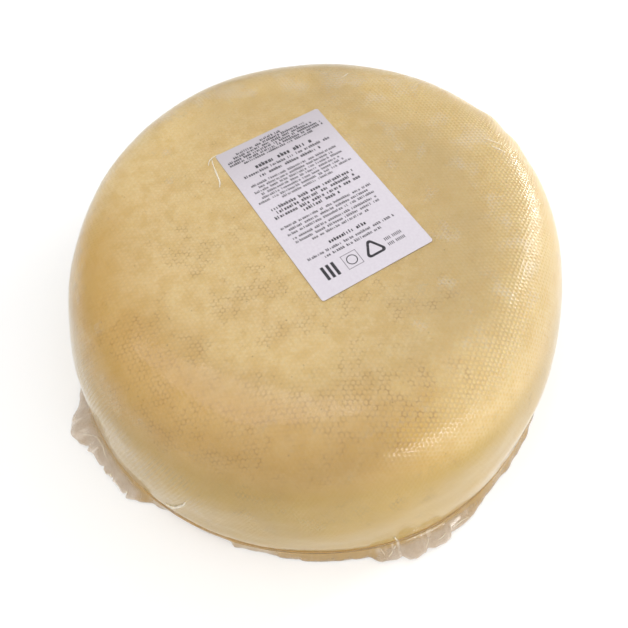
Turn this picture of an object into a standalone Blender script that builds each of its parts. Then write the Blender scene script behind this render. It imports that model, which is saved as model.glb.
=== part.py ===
"""A low wheel of semi-hard cheese in clear shrink film, with its loose hem and a paper label.

Metres, +Z up. The origin is the middle of the flat underside, and the wheel stands on the plane z = 0.
Angles run anticlockwise from +X, seen from above; the side that faces the viewer is -Y.
"""

import bisect
import math

import bmesh
import bpy
from mathutils import Matrix

MM = 0.001

# Wheel of cheese
WHEEL_RADIUS = 130 * MM
WHEEL_HEIGHT = 107.5 * MM
FOOT_REACH = 6.4 * MM
FOOT_DROP = 21 * MM

# Bend of the shoulder and side: the surface's tilt in degrees, and the curve's radius in mm there
BENDS = ((0, 35.4), (15, 33.6), (30, 32.0), (45, 31.8), (60, 38.3), (75, 99.6), (90, 248.0))

# How the press and its own weight left the wheel out of true: number of lobes, swell, direction in degrees
LOBES = ((2, 1.6 * MM, 54.0), (3, 0.4 * MM, 54.0), (4, 1.0 * MM, 35.0))
LEAN = (0.013, 0.024)
TOP_TILT = (0.010, 0.018)
WAVE_HEIGHT = 0.35 * MM

# Loose hem of the film, which leaves the foot at a crease and ends in a cut edge
CREASE_HEIGHT = 8 * MM
HEM_THICKNESS = 0.5 * MM
HEM_FLOOR = 0.7 * MM
HEM_STANDOFF = 0.7 * MM
HEM_RUFFLE = 2.4 * MM
HEM_SCALLOP = 0.7 * MM
LOOSE_REACHES = (3 * MM, 12 * MM)
GATHERS = (50, 86)

# Direction in degrees and how far the cut edge stands out from the crease in mm, once round the wheel
HEM_REACH = (
    (0, 3.2), (60, 3.0), (120, 3.0), (165, 3.4), (186, 4.5), (197, 7.6), (201, 12.8), (205, 15.9),
    (207.5, 15.0), (209, 11.4), (212, 9.6), (219, 8.2), (224, 8.6), (226, 5.4), (229, 3.0), (240, 2.5),
    (280, 2.4), (283, 5.5), (289.5, 8.8), (297, 8.8), (301, 7.4), (305, 5.5), (308, 4.2), (311, 2.5),
    (316, 2.1), (322, 3.0), (345, 3.2),
)

# Paper label
LABEL_WIDTH = 60 * MM
LABEL_LENGTH = 100 * MM
LABEL_THICKNESS = 0.3 * MM
LABEL_CORNER = 1.2 * MM
LABEL_CENTRE = (3.1 * MM, 11.9 * MM)
LABEL_TURN = math.radians(31)
GAP = 0.3 * MM

# Colours, linear
CHEESE_GOLD = (0.72, 0.53, 0.22)
FILM_GREY = (0.78, 0.74, 0.68)
PAPER_WHITE = (0.80, 0.76, 0.80)

# Facets
WHEEL_STEPS = 112
BEND_STEPS = 96
BEND_SKIPS = (8, 4)
FOOT_POINTS = 8
TOP_RINGS = 4
HEM_STEPS = 250
HEM_ROWS = 4


def clear_scene():
    for item in list(bpy.data.objects):
        bpy.data.objects.remove(item, do_unlink=True)


def new_collection(name):
    group = bpy.data.collections.new(name)
    bpy.context.scene.collection.children.link(group)
    return group


def finish_material(name, colour, roughness, alpha=1.0):
    material = bpy.data.materials.new(name)
    material.use_nodes = True
    shader = material.node_tree.nodes["Principled BSDF"]
    shader.inputs["Base Color"].default_value = (*colour, 1.0)
    shader.inputs["Roughness"].default_value = roughness
    shader.inputs["Metallic"].default_value = 0.0
    shader.inputs["Alpha"].default_value = alpha
    return material


def mesh_object(name, mesh, group, material):
    item = bpy.data.objects.new(name, mesh)
    item.data.materials.append(material)
    group.objects.link(item)
    return item


def out_of_round(angle):
    """Share by which the wheel's radius differs from true round in this direction."""
    swell = 0.0
    for count, height, direction in LOBES:
        swell += height / WHEEL_RADIUS * math.cos(count * (angle - math.radians(direction)))
    return 1.0 + swell


def bend_radius(tilt):
    """Radius of the profile's curve where the surface is tilted from level by so many degrees."""
    for (start, low), (end, high) in zip(BENDS, BENDS[1:]):
        if tilt <= end:
            return (low + (high - low) * (tilt - start) / (end - start)) * MM
    return BENDS[-1][1] * MM


def shoulder_curve():
    """Points of the shoulder and side, from the flat top's rim to the upright widest line."""
    reach = drop = 0.0
    steps = [(reach, drop)]
    for step in range(BEND_STEPS):
        tilt = (step + 0.5) * 90 / BEND_STEPS
        length = bend_radius(tilt) * math.pi / 2 / BEND_STEPS
        reach += length * math.cos(math.radians(tilt))
        drop += length * math.sin(math.radians(tilt))
        steps.append((reach, drop))
    flat = WHEEL_RADIUS - reach
    points = [(flat + out, WHEEL_HEIGHT - down) for out, down in steps]
    steep = BEND_STEPS * 2 // 3
    return points[:steep:BEND_SKIPS[0]] + points[steep::BEND_SKIPS[1]]


def foot_point(turn):
    """Point of the foot's curve, from the upright side (0) to the flat underside (a quarter turn)."""
    radius = WHEEL_RADIUS - FOOT_REACH + FOOT_REACH * math.cos(turn)
    return radius, FOOT_DROP * (1 - math.sin(turn))


def wheel_profile():
    """Half section of the wheel, from the top's middle down its outer side to the underside's middle."""
    curve = shoulder_curve()
    points = [(curve[0][0] * ring / TOP_RINGS, WHEEL_HEIGHT) for ring in range(TOP_RINGS)]
    points += curve
    points += [foot_point(math.pi / 2 * step / FOOT_POINTS) for step in range(FOOT_POINTS + 1)]
    points.append((0.0, 0.0))
    return points


def foot_radius(height):
    """Radius of the true round foot at a height under its widest line."""
    turn = math.asin(1 - height / FOOT_DROP)
    return foot_point(turn)[0]


def slow_wave(angle, height):
    """Low uneven swell of the pressed side, none at the top and underside."""
    share = max(0.0, min(1.0, height / WHEEL_HEIGHT))
    band = math.sin(math.pi * share)
    wave = math.sin(5 * angle + 9 * share) + 0.7 * math.sin(9 * angle - 14 * share + 1.3)
    return WAVE_HEIGHT * band * wave


def top_rise(x, y):
    """How much higher the slightly tilted top lies here than at the wheel's axis."""
    return TOP_TILT[0] * x + TOP_TILT[1] * y


def pressed(point):
    """Moves a point of the true round wheel to where the real, slightly uneven wheel has it."""
    radius = math.hypot(point[0], point[1])
    angle = math.atan2(point[1], point[0])
    real = radius * out_of_round(angle) + slow_wave(angle, point[2]) * min(1.0, radius / WHEEL_RADIUS)
    x = real * math.cos(angle) + LEAN[0] * point[2]
    y = real * math.sin(angle) + LEAN[1] * point[2]
    z = point[2] + top_rise(x, y) * point[2] / WHEEL_HEIGHT
    return x, y, z


def turned_mesh(name, profile, steps, group, closed_poles):
    """Turns a profile in the XZ plane once round Z and returns the mesh."""
    mesh = bpy.data.meshes.new(name + "_profile")
    corners = [(radius, 0.0, height) for radius, height in profile]
    edges = [(index, index + 1) for index in range(len(profile) - 1)]
    mesh.from_pydata(corners, edges, [])
    item = bpy.data.objects.new(name + "_profile", mesh)
    group.objects.link(item)
    screw = item.modifiers.new("turn", "SCREW")
    screw.axis = "Z"
    screw.angle = 2 * math.pi
    screw.steps = steps
    screw.render_steps = steps
    screw.use_merge_vertices = closed_poles
    screw.merge_threshold = 0.00001
    bpy.context.view_layer.update()
    graph = bpy.context.evaluated_depsgraph_get()
    turned = bpy.data.meshes.new_from_object(item.evaluated_get(graph))
    bpy.data.objects.remove(item, do_unlink=True)
    work = bmesh.new()
    work.from_mesh(turned)
    bmesh.ops.remove_doubles(work, verts=work.verts, dist=0.00001)
    work.to_mesh(turned)
    work.free()
    turned.name = name
    return turned


def build_wheel(group):
    material = finish_material("cheese_in_film", CHEESE_GOLD, 0.35)
    mesh = turned_mesh("cheese_wheel", wheel_profile(), WHEEL_STEPS, group, True)
    for vertex in mesh.vertices:
        vertex.co = pressed(vertex.co)
    mesh.shade_smooth()
    return mesh_object("cheese_wheel", mesh, group, material)


def eased(share):
    """Smooth step from 0 to 1."""
    return share * share * (3 - 2 * share)


def hem_reach(angle):
    """How far the film's cut edge stands out from its crease in this direction."""
    degrees = math.degrees(angle) % 360
    marks = [mark for mark, reach in HEM_REACH]
    place = bisect.bisect_right(marks, degrees) - 1
    start, low = HEM_REACH[place]
    end, high = HEM_REACH[(place + 1) % len(HEM_REACH)]
    span = (end - start) % 360
    share = eased((degrees - start) / span)
    return (low + (high - low) * share) * MM


def hem_point(angle, share):
    """Point of the hem, from its crease on the foot (0) to its cut edge (1)."""
    reach = hem_reach(angle)
    still, free = LOOSE_REACHES
    loose = max(0.0, min(1.0, (reach - still) / (free - still)))
    gather = math.sin(GATHERS[0] * angle) + 0.6 * math.sin(GATHERS[1] * angle + 0.8)
    out = foot_radius(CREASE_HEIGHT) + HEM_STANDOFF + (reach + loose * HEM_SCALLOP * gather) * share
    edge = HEM_FLOOR + HEM_RUFFLE * loose * (1 + 0.6 * gather) * share
    height = CREASE_HEIGHT + (edge - CREASE_HEIGHT) * share ** 0.8
    return out, height


def build_hem(group):
    material = finish_material("loose_film", FILM_GREY, 0.2, 0.45)
    rows = [(foot_radius(CREASE_HEIGHT) + row * MM, CREASE_HEIGHT) for row in range(HEM_ROWS + 1)]
    mesh = turned_mesh("film_hem", rows, HEM_STEPS, group, False)
    for vertex in mesh.vertices:
        angle = math.atan2(vertex.co.y, vertex.co.x)
        share = max(0.0, (math.hypot(vertex.co.x, vertex.co.y) - rows[0][0]) / (HEM_ROWS * MM))
        out, height = hem_point(angle, share)
        vertex.co = pressed((out * math.cos(angle), out * math.sin(angle), height))
    mesh.shade_smooth()
    hem = mesh_object("film_hem", mesh, group, material)
    wall = hem.modifiers.new("film", "SOLIDIFY")
    wall.thickness = HEM_THICKNESS
    wall.offset = 0.0
    wall.use_even_offset = False
    return hem


def build_label(group):
    material = finish_material("label_paper", PAPER_WHITE, 0.6)
    mesh = bpy.data.meshes.new("paper_label")
    work = bmesh.new()
    bmesh.ops.create_cube(work, size=1.0)
    bmesh.ops.scale(work, verts=work.verts, vec=(LABEL_WIDTH, LABEL_LENGTH, LABEL_THICKNESS))
    upright = [edge for edge in work.edges if edge.verts[0].co.z * edge.verts[1].co.z < 0]
    bmesh.ops.bevel(work, geom=upright, offset=LABEL_CORNER, segments=5, affect="EDGES", profile=0.5)
    bmesh.ops.rotate(work, verts=work.verts, matrix=Matrix.Rotation(LABEL_TURN, 3, "Z"))
    middle = (*LABEL_CENTRE, WHEEL_HEIGHT + GAP + LABEL_THICKNESS / 2)
    bmesh.ops.translate(work, verts=work.verts, vec=middle)
    for corner in work.verts:
        corner.co.z += top_rise(corner.co.x, corner.co.y)
    work.to_mesh(mesh)
    work.free()
    return mesh_object("paper_label", mesh, group, material)


def main():
    clear_scene()
    group = new_collection("cheese_in_shrink_film")
    build_wheel(group)
    build_hem(group)
    build_label(group)


main()
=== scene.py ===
"""Looks of a low wheel of semi-hard cheese, vacuum packed in clear shrink film, with a paper label.

Metres, +Z up. Angles run anticlockwise from +X, seen from above; the side that faces the viewer is -Y.
A place on the wheel's skin is an angle in degrees and how far it lies, in mm, from the middle of the top
along the skin: the flat top ends at 89, the shoulder at about 140, the foot begins at 196 and ends at 219.
"""

import bisect
import math
import random

import bmesh
import bpy
import numpy as np
from mathutils import Matrix, Vector, noise


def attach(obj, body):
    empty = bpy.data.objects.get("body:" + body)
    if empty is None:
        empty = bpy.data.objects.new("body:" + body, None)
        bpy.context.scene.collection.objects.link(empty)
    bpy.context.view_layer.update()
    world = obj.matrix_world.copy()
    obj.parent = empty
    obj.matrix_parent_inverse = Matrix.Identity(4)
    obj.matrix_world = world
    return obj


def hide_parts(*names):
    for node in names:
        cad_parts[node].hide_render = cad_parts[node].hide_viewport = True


MM = 0.001

# Wheel, as the solids have it. BENDS gives the profile's radius in mm by its tilt in degrees, and LOBES
# how many lobes there are to a turn, their height and the direction of one
WHEEL_RADIUS = 130 * MM
WHEEL_HEIGHT = 107.5 * MM
FOOT_REACH = 6.4 * MM
FOOT_DROP = 21 * MM
BENDS = ((0, 35.4), (15, 33.6), (30, 32.0), (45, 31.8), (60, 38.3), (75, 99.6), (90, 248.0))
LOBES = ((2, 1.6 * MM, 54.0), (3, 0.4 * MM, 54.0), (4, 1.0 * MM, 35.0))
LEAN = (0.013, 0.024)
TOP_TILT = (0.010, 0.018)
WAVE_HEIGHT = 0.35 * MM

# Loose hem of the film, as the solids have it
CREASE_HEIGHT = 8 * MM
HEM_FLOOR = 0.7 * MM
HEM_STANDOFF = 0.7 * MM
HEM_RUFFLE = 2.4 * MM
HEM_SCALLOP = 0.7 * MM
EDGE_WOBBLE = 0.9 * MM
# Nicks in the cut edge: direction in degrees, depth in mm, half width in degrees
HEM_NICKS = (
    (209.6, 2.6, 0.7), (215.2, 1.4, 0.6), (218.8, 1.8, 0.5), (223.6, 2.2, 0.5), (287.3, 1.3, 0.9),
    (292.8, 1.7, 0.8), (299.0, 1.0, 0.6),
)
# Reaches at which the film begins to ruffle and at which it is fully loose, and its gathers to a turn
LOOSE_REACHES = (3 * MM, 12 * MM)
GATHERS = (50, 86)
# Reach of the cut edge from the crease in mm, by direction in degrees; below 0 it is tucked under the wheel
HEM_REACH = (
    (0, 3.2), (60, 3.0), (120, 3.0), (165, 3.4), (186, 4.5), (197, 7.6), (201, 12.8), (205, 15.9),
    (207.5, 15.0), (209, 11.4), (212, 9.6), (219, 8.2), (224, 8.4), (226.5, 4.6), (230, 1.0), (235, -1.5),
    (249, -1.5), (251, 0.6), (256, -0.4), (268, 1.8), (280, 2.0), (283, 5.5), (289.5, 8.8), (296, 8.4),
    (300, 6.2), (305, 5.2), (308, 3.9), (311, 2.3), (316, 2.1), (322, 3.0), (345, 3.2),
)
# Brown lines along the crease, painted shadow where the hem leaves the wheel: height over it and width in
# mm, and the layer of noise that bends each one
CREASES = ((0.2, 1.1, 1.0), (2.3, 0.8, 2.0))

# Paper label, as the solids have it
LABEL_LENGTH = 100 * MM
LABEL_THICKNESS = 0.3 * MM
LABEL_CENTRE = (3.1 * MM, 11.9 * MM)
LABEL_TURN = math.radians(31)
LABEL_GAP = 0.3 * MM

# Fineness of the meshes
COLUMNS = 480
ROW_SPACINGS = ((0.0, 2.6 * MM), (88.0 * MM, 1.1 * MM), (218.5 * MM, 9.0 * MM))
BEND_STEPS = 960
HEM_COLUMNS = 1440
HEM_ROWS = 14
HEM_FILM = 0.07 * MM
CREASE_STEPS = 720
FOLD_STEPS = 10

# Skin of film over cheese, whose swells grow past the rim of the top and fade out at the foot
FILM_INSET = 0.15 * MM
SWELL_SIZES = ((24 * MM, 0.16 * MM), (7 * MM, 0.05 * MM))
SIDE_SWELL = 1.8
TOP_SWELL_LIMIT = 0.18 * MM
TOP_RIM, SHOULDER_LENGTH = 85 * MM, 30 * MM
FOOT_START, FOOT_FADE = 200 * MM, 16 * MM

# Mesh of the press mould, printed into the rind: the distance between its rows of knots in mm and their
# directions on the top, how much it was stretched towards the near side for each mm, and on the shoulder,
# and its knots once round the wall, with how many of its slanting rows there are to each mm down the wall
TOP_ROWS = 1.72
TOP_TURN = math.radians(32)
NET_STRETCH = 0.0009
SHOULDER_STRETCH = 0.88
WALL_KNOTS = 382
WALL_SLANT = 0.207

# Places on the skin: each a stroke through (angle, distance along the skin), with its half width in mm
# and its strength
BULGES = (
    (((36, 118),), 8, 1.0),
    (((27, 121),), 7, 0.8),
)
BULGE_HEIGHT = 1.1 * MM
LIFTED_FILM = (
    (((134, 104), (112, 94), (96, 88)), 15, 0.75),
    (((96, 90), (76, 92), (58, 92)), 17, 0.85),
    (((42, 80), (27, 88)), 10, 1.0),
    (((24, 96), (12, 98)), 8, 0.7),
    (((352, 92), (340, 97), (330, 96)), 11, 0.8),
    (((60, 62), (20, 74), (340, 78), (318, 84)), 24, 0.45),
    (((160, 118), (170, 125), (184, 123)), 8, 0.9),
    (((184, 122), (198, 121), (211, 132)), 7, 0.85),
    (((208, 134), (222, 148), (233, 158), (242, 168)), 17, 0.85),
    (((246, 158), (262, 162), (280, 160)), 18, 0.5),
    (((286, 160), (298, 162)), 14, 0.4),
    (((20, 165), (60, 160), (100, 165)), 14, 0.6),
    (((130, 170), (150, 160)), 13, 0.7),
)
UPRIGHT_STRIPES = (
    (((214, 140), (226, 152), (238, 166)), 15, 1.0),
    (((70, 160), (90, 164)), 16, 0.9),
)
CROSS_HATCH = (
    (((246, 162), (264, 166), (284, 164)), 22, 1.0),
    (((130, 165), (150, 162)), 20, 0.9),
)
# Painted shade: the near shoulder, turned away from the lights, in a deeper gold
SHADED_SHOULDER_GOLD = (
    (((186, 112), (200, 112), (216, 114), (236, 120), (262, 122), (288, 118)), 24, 0.85),
    (((214, 100), (238, 104), (262, 108)), 16, 0.85),
)
DULL_GOLD = (
    (((40, 66), (10, 72), (340, 74), (322, 80)), 34, 1.0),
    (((122, 92), (96, 86), (60, 86), (36, 90)), 20, 0.9),
)
CRISP_PRINT = (
    (((60, 60), (20, 66), (340, 72), (316, 82)), 30, 0.2),
    (((296, 122), (318, 114), (338, 108), (356, 104), (20, 100), (40, 96), (64, 94)), 21, 1.0),
    (((96, 92), (130, 98), (160, 112), (190, 120)), 14, 0.6),
)
RIND_MARKS = (
    (((232, 60), (262, 55), (292, 62)), 36, 0.85),
    (((200, 62), (225, 40)), 28, 0.8),
    (((318, 74),), 16, 0.8),
    (((216, 104), (238, 106), (262, 104), (290, 100)), 24, 1.5),
    (((228, 122), (250, 128), (270, 124)), 14, 1.2),
)
SKIN_FIELDS = {
    "lifted": LIFTED_FILM, "upright": UPRIGHT_STRIPES, "hatched": CROSS_HATCH, "deep": SHADED_SHOULDER_GOLD,
    "dull": DULL_GOLD, "crisp": CRISP_PRINT, "marked": RIND_MARKS,
}

# Print on the label: distance from its top edge, width of the line and height of its strokes, all in mm,
# and the strokes' thickness as a share of their height
PRINT_LINES = (
    (2.9, 12, 1.5, 0.26), (4.7, 41, 1.5, 0.26), (6.5, 46, 1.5, 0.26), (8.3, 54, 1.5, 0.26),
    (10.1, 54, 1.5, 0.26), (11.9, 40, 1.5, 0.26),
    (17.0, 33, 2.5, 0.25), (20.3, 49, 1.7, 0.22), (23.2, 35, 1.8, 0.24),
    (27.0, 49, 1.5, 0.2), (29.2, 43, 1.5, 0.2), (31.4, 50, 1.5, 0.2), (33.6, 45, 1.5, 0.2),
    (35.8, 47, 1.5, 0.2), (38.0, 53, 1.5, 0.2), (40.2, 30, 1.5, 0.2),
    (44.4, 47, 1.9, 0.24), (47.1, 44, 1.9, 0.24), (49.8, 49, 1.9, 0.24), (52.5, 21, 1.9, 0.24),
    (56.5, 51, 1.5, 0.2), (58.9, 45, 1.5, 0.2), (61.3, 49, 1.5, 0.2),
    (64.2, 47, 1.5, 0.2), (66.6, 47, 1.5, 0.2), (69.0, 32, 1.5, 0.2),
    (74.6, 21, 1.9, 0.27), (78.0, 48, 1.5, 0.2), (80.6, 33, 1.5, 0.2),
)
# Pitch, widths and heights of the letters as shares of the strokes' height or the pitch
LETTER_PITCH = 0.72
LETTER_WIDTHS = (0.62, 0.78)
LOW_STROKE = 0.75
STROKE_HEIGHTS = (LOW_STROKE, LOW_STROKE, LOW_STROKE, 1.0, 1.05)
SECOND_STROKE_SHARE = 0.75
CROSS_STROKE_HEIGHTS = (0.0, 0.35, 0.72)
WORD_LETTERS = (2, 11)
INK_BASE, INK_TOP = 0.01 * MM, 0.03 * MM

# Shapes under the print, all on one row: three bars, a ring in a box, a triangle and two rows of ticks.
# The triangle's sides are given as (radius, rounding of its corners)
SYMBOL_ROW = -38.5 * MM
BARS_LEFT, BAR_PITCH, BAR_WIDTH, BAR_HEIGHT = -22.0 * MM, 2.7 * MM, 1.5 * MM, 7.6 * MM
BOX_ACROSS = -7.0 * MM
BOX_RADII = (5.7 * MM, 5.4 * MM)
RING_RADII = (2.7 * MM, 2.25 * MM)
TRIANGLE_ACROSS, TRIANGLE_DROP = 4.7 * MM, 0.6 * MM
TRIANGLE_OUTER = (5.3 * MM, 1.6 * MM)
TRIANGLE_INNER = (3.7 * MM, 0.7 * MM)
TICKS_LEFT, TICK_PITCH, TICK_WIDTH, TICK_HEIGHT = 11.6 * MM, 0.86 * MM, 0.36 * MM, 1.7 * MM
TICK_ROWS = (0.2 * MM, -3.0 * MM)
TICKS, TICK_LEFT_OUT = 11, 4

# Camera, at the height and distance from which the wheel was taken
CAMERA_TARGET = Vector((0.0, 0.0, 53.7 * MM))
CAMERA_DISTANCE = 403.4 * MM
CAMERA_ELEVATION = math.radians(56.633)
CAMERA_ROLL = math.radians(-1.32)
CAMERA_LENS = 43.72
CAMERA_SENSOR = 36.0
CAMERA_SHIFT = (-0.00164, -0.0534)

# Lights round the side: direction and height in degrees from the wheel's middle, width, tallness and power
SIDE_DISTANCE = 0.9
SIDE_LIGHTS = (
    ("strip_back_right", 45, 11, 0.10, 0.12, 0.5),
    ("strip_right", 33, 15, 0.20, 0.12, 1.5),
    ("strip_right_high", 22, 33, 0.10, 0.20, 1.0),
    ("strip_front", -52, 3, 0.40, 0.08, 1.1),
    ("wide_right", 0, 18, 0.90, 0.30, 1.1),
)
# The one high light: its place, size and power
HIGH_LIGHT = ("high_front", (-0.28, -0.16, 0.88), (0.7, 0.7), 1.85)
# Directions in which the room is a little brighter, and a good deal brighter
BRIGHTER_SIDE = (0.75, 0.35, 0.56)
NEAR_SIDE = (-0.15, -0.87, 0.47)
FLOOR_HALF = 3.0

# Settings that many shader nodes share
SMOOTH = {"interpolation_type": "SMOOTHSTEP"}
TIMES = {"operation": "MULTIPLY"}
PLUS = {"operation": "ADD"}
TIMES_PLUS = {"operation": "MULTIPLY_ADD"}
COLOURS = {"data_type": "RGBA"}
NUMBERS = {"data_type": "FLOAT"}


def paint(code):
    """Linear colour, with alpha, of an sRGB hex value."""
    colour = []
    for place in (1, 3, 5):
        level = int(code[place:place + 2], 16) / 255
        colour.append(level / 12.92 if level <= 0.04045 else ((level + 0.055) / 1.055) ** 2.4)
    return (*colour, 1.0)


def add(tree, kind, settings=None, inputs=None, out=0):
    """Adds one shader node with its settings and its inputs, which are values or other nodes' outputs."""
    item = tree.nodes.new("ShaderNode" + kind)
    for name, value in (settings or {}).items():
        setattr(item, name, value)
    for name, value in (inputs or {}).items():
        if isinstance(value, bpy.types.NodeSocket):
            tree.links.new(value, item.inputs[name])
        else:
            item.inputs[name].default_value = value
    return item.outputs[out] if len(item.outputs) else item


def new_material(name):
    material = bpy.data.materials.new(name)
    material.use_nodes = True
    material.node_tree.nodes.clear()
    return material, material.node_tree


def eased(share):
    """Smooth step from 0 to 1."""
    share = max(0.0, min(1.0, share))
    return share * share * (3 - 2 * share)


# Form of the wheel

def out_of_round(angle):
    """Share by which the wheel's radius differs from true round in this direction."""
    swell = 0.0
    for count, height, direction in LOBES:
        swell += height / WHEEL_RADIUS * math.cos(count * (angle - math.radians(direction)))
    return 1.0 + swell


def bend_radius(tilt):
    """Radius of the profile's curve where the surface is tilted from level by so many degrees."""
    for (start, low), (end, high) in zip(BENDS, BENDS[1:]):
        if tilt <= end:
            return (low + (high - low) * (tilt - start) / (end - start)) * MM
    return BENDS[-1][1] * MM


def slow_wave(angle, height):
    """Low uneven swell of the pressed side, none at the top and underside."""
    share = max(0.0, min(1.0, height / WHEEL_HEIGHT))
    band = math.sin(math.pi * share)
    wave = math.sin(5 * angle + 9 * share) + 0.7 * math.sin(9 * angle - 14 * share + 1.3)
    return WAVE_HEIGHT * band * wave


def top_rise(x, y):
    """How much higher the slightly tilted top lies here than at the wheel's axis."""
    return TOP_TILT[0] * x + TOP_TILT[1] * y


def pressed(point):
    """Moves a point of the true round wheel to where the real, slightly uneven wheel has it."""
    radius = math.hypot(point[0], point[1])
    angle = math.atan2(point[1], point[0])
    real = radius * out_of_round(angle) + slow_wave(angle, point[2]) * min(1.0, radius / WHEEL_RADIUS)
    x = real * math.cos(angle) + LEAN[0] * point[2]
    y = real * math.sin(angle) + LEAN[1] * point[2]
    z = point[2] + top_rise(x, y) * point[2] / WHEEL_HEIGHT
    return Vector((x, y, z))


def dense_section():
    """Half section from top to underside, as rows of (radius, height, distance along the skin, tilt)."""
    reach = drop = along = 0.0
    bend = [(reach, drop, along, 0.0)]
    for step in range(BEND_STEPS):
        tilt = math.radians((step + 0.5) * 90 / BEND_STEPS)
        length = bend_radius(math.degrees(tilt)) * math.pi / 2 / BEND_STEPS
        reach += length * math.cos(tilt)
        drop += length * math.sin(tilt)
        along += length
        bend.append((reach, drop, along, tilt))
    flat = WHEEL_RADIUS - reach
    rows = [(0.0, WHEEL_HEIGHT, 0.0, 0.0)]
    rows += [(flat + out, WHEEL_HEIGHT - down, flat + far, tilt) for out, down, far, tilt in bend]
    steps = BEND_STEPS // 8
    for step in range(steps + 1):
        turn = math.pi / 2 * step / steps
        radius = WHEEL_RADIUS - FOOT_REACH + FOOT_REACH * math.cos(turn)
        height = FOOT_DROP * (1 - math.sin(turn))
        tilt = math.atan2(math.cos(turn) / FOOT_REACH, -math.sin(turn) / FOOT_DROP)
        far = rows[-1][2] + math.hypot(radius - rows[-1][0], height - rows[-1][1])
        rows.append((radius, height, far, tilt))
    rows.append((0.0, 0.0, rows[-1][2] + rows[-1][0], math.pi))
    return rows


SECTION = dense_section()
SECTION_ALONG = [row[2] for row in SECTION]


def section_row(along):
    """The half section's (radius, height, distance along the skin, tilt) at a distance along the skin."""
    place = max(1, min(len(SECTION) - 1, bisect.bisect_left(SECTION_ALONG, along)))
    first, last = SECTION[place - 1], SECTION[place]
    span = last[2] - first[2]
    share = (along - first[2]) / span if span > 0 else 0.0
    return tuple(low + (high - low) * share for low, high in zip(first, last))


def section_rows():
    """Rows of the fine mesh, close where the skin bends and wide where it is flat."""
    rows = [SECTION[0]]
    end = SECTION_ALONG[-1]
    along = 0.0
    while True:
        spacing = [step for start, step in ROW_SPACINGS if along >= start][-1]
        along += spacing
        if along > end - spacing / 2:
            break
        rows.append(section_row(along))
    rows.append(SECTION[-1])
    return rows


def skin_place(degrees, along_mm, lift=0.0):
    """Place and outward direction of a spot on the wheel's skin."""
    angle = math.radians(degrees)
    radius, height, _, tilt = section_row(along_mm * MM)
    outward = Vector((math.sin(tilt) * math.cos(angle), math.sin(tilt) * math.sin(angle), math.cos(tilt)))
    base = pressed((radius * math.cos(angle), radius * math.sin(angle), height))
    return base + outward * lift, outward


def stroke_strength(points, strokes):
    """Strength at each point of the strongest soft-edged stroke near it."""
    strength = np.zeros(len(points))
    for places, half_width, most in strokes:
        spots = [np.array(skin_place(*place)[0]) for place in places]
        for start, end in zip(spots, spots[1:] or spots):
            way = end - start
            size = max(float(way @ way), 1e-12)
            share = np.clip((points - start) @ way / size, 0.0, 1.0)
            gap = np.linalg.norm(points - start - share[:, None] * way, axis=1)
            strength = np.maximum(strength, most * np.exp(-(gap / (half_width * MM)) ** 2))
    return strength


def swell(place, along):
    """Small uneven swell of the rind under tight film."""
    total = 0.0
    for size, height in SWELL_SIZES:
        total += height * noise.noise(place / size)
    side = eased((along - TOP_RIM) / SHOULDER_LENGTH)
    total *= 1 + (SIDE_SWELL - 1) * side
    total = min(total, TOP_SWELL_LIMIT + side)
    return total * (1 - eased((along - FOOT_START) / FOOT_FADE))


def skin_mesh(name, inset):
    """The whole closed skin of the wheel, a little under the film's face where it is the cheese."""
    rows = section_rows()
    inner = rows[1:-1]
    places = []
    alongs = []
    outwards = []
    spots = [rows[0]] + [row for row in inner for _ in range(COLUMNS)] + [rows[-1]]
    for radius, height, along, tilt in spots:
        column = (len(places) - 1) % COLUMNS
        angle = 2 * math.pi * column / COLUMNS
        side = math.sin(tilt)
        outwards.append(Vector((side * math.cos(angle), side * math.sin(angle), math.cos(tilt))))
        places.append(pressed((radius * math.cos(angle), radius * math.sin(angle), height)))
        alongs.append(along)
    points = np.array(places)
    bulge = stroke_strength(points, BULGES) * BULGE_HEIGHT
    vertices = []
    for place, outward, along, rise in zip(places, outwards, alongs, bulge):
        vertices.append(place + outward * (swell(place, along) + rise - inset))
    faces = []
    corners = []
    last = len(vertices) - 1
    for row in range(len(rows) - 1):
        for column in range(COLUMNS):
            near, far = column, column + 1
            wrapped = far % COLUMNS
            upper = 1 + (row - 1) * COLUMNS
            lower = 1 + row * COLUMNS
            if row == 0:
                faces.append((0, lower + near, lower + wrapped))
                corners.append(((near, 0), (near, 1), (far, 1)))
            elif row == len(rows) - 2:
                faces.append((upper + near, last, upper + wrapped))
                corners.append(((near, row), (near, row + 1), (far, row)))
            else:
                faces.append((upper + near, lower + near, lower + wrapped, upper + wrapped))
                corners.append(((near, row), (near, row + 1), (far, row + 1), (far, row)))
    mesh = bpy.data.meshes.new(name)
    mesh.from_pydata(vertices, [], faces)
    step = 2 * math.pi * WHEEL_RADIUS / COLUMNS / MM
    wall = [(column * step, rows[row][2] / MM, 0.0) for face in corners for column, row in face]
    top = []
    flat_end = ROW_SPACINGS[1][0]
    for place, along in zip(places, alongs):
        flat = Vector((place.x, place.y))
        way = flat.normalized() if flat.length > 0 else flat
        way *= (min(along, flat_end) + max(0.0, along - flat_end) * SHOULDER_STRETCH) / MM
        top.append((way.x * (1 + NET_STRETCH * way.y), way.y * (1 + NET_STRETCH / 2 * way.y), 0.0))
    store(mesh, "wall_place", "FLOAT_VECTOR", "CORNER", wall)
    store(mesh, "top_place", "FLOAT_VECTOR", "POINT", top)
    store(mesh, "distance", "FLOAT", "POINT", [along / MM for along in alongs])
    for field, strokes in SKIN_FIELDS.items():
        store(mesh, field, "FLOAT", "POINT", stroke_strength(points, strokes))
    mesh.shade_smooth()
    return mesh


def store(mesh, name, kind, domain, values):
    """Keeps one value for each point or face corner of a mesh, for its material to read."""
    layer = mesh.attributes.new(name, kind, domain)
    flat = np.array(values, dtype=np.float32).ravel()
    layer.data.foreach_set("vector" if kind == "FLOAT_VECTOR" else "value", flat)


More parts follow.
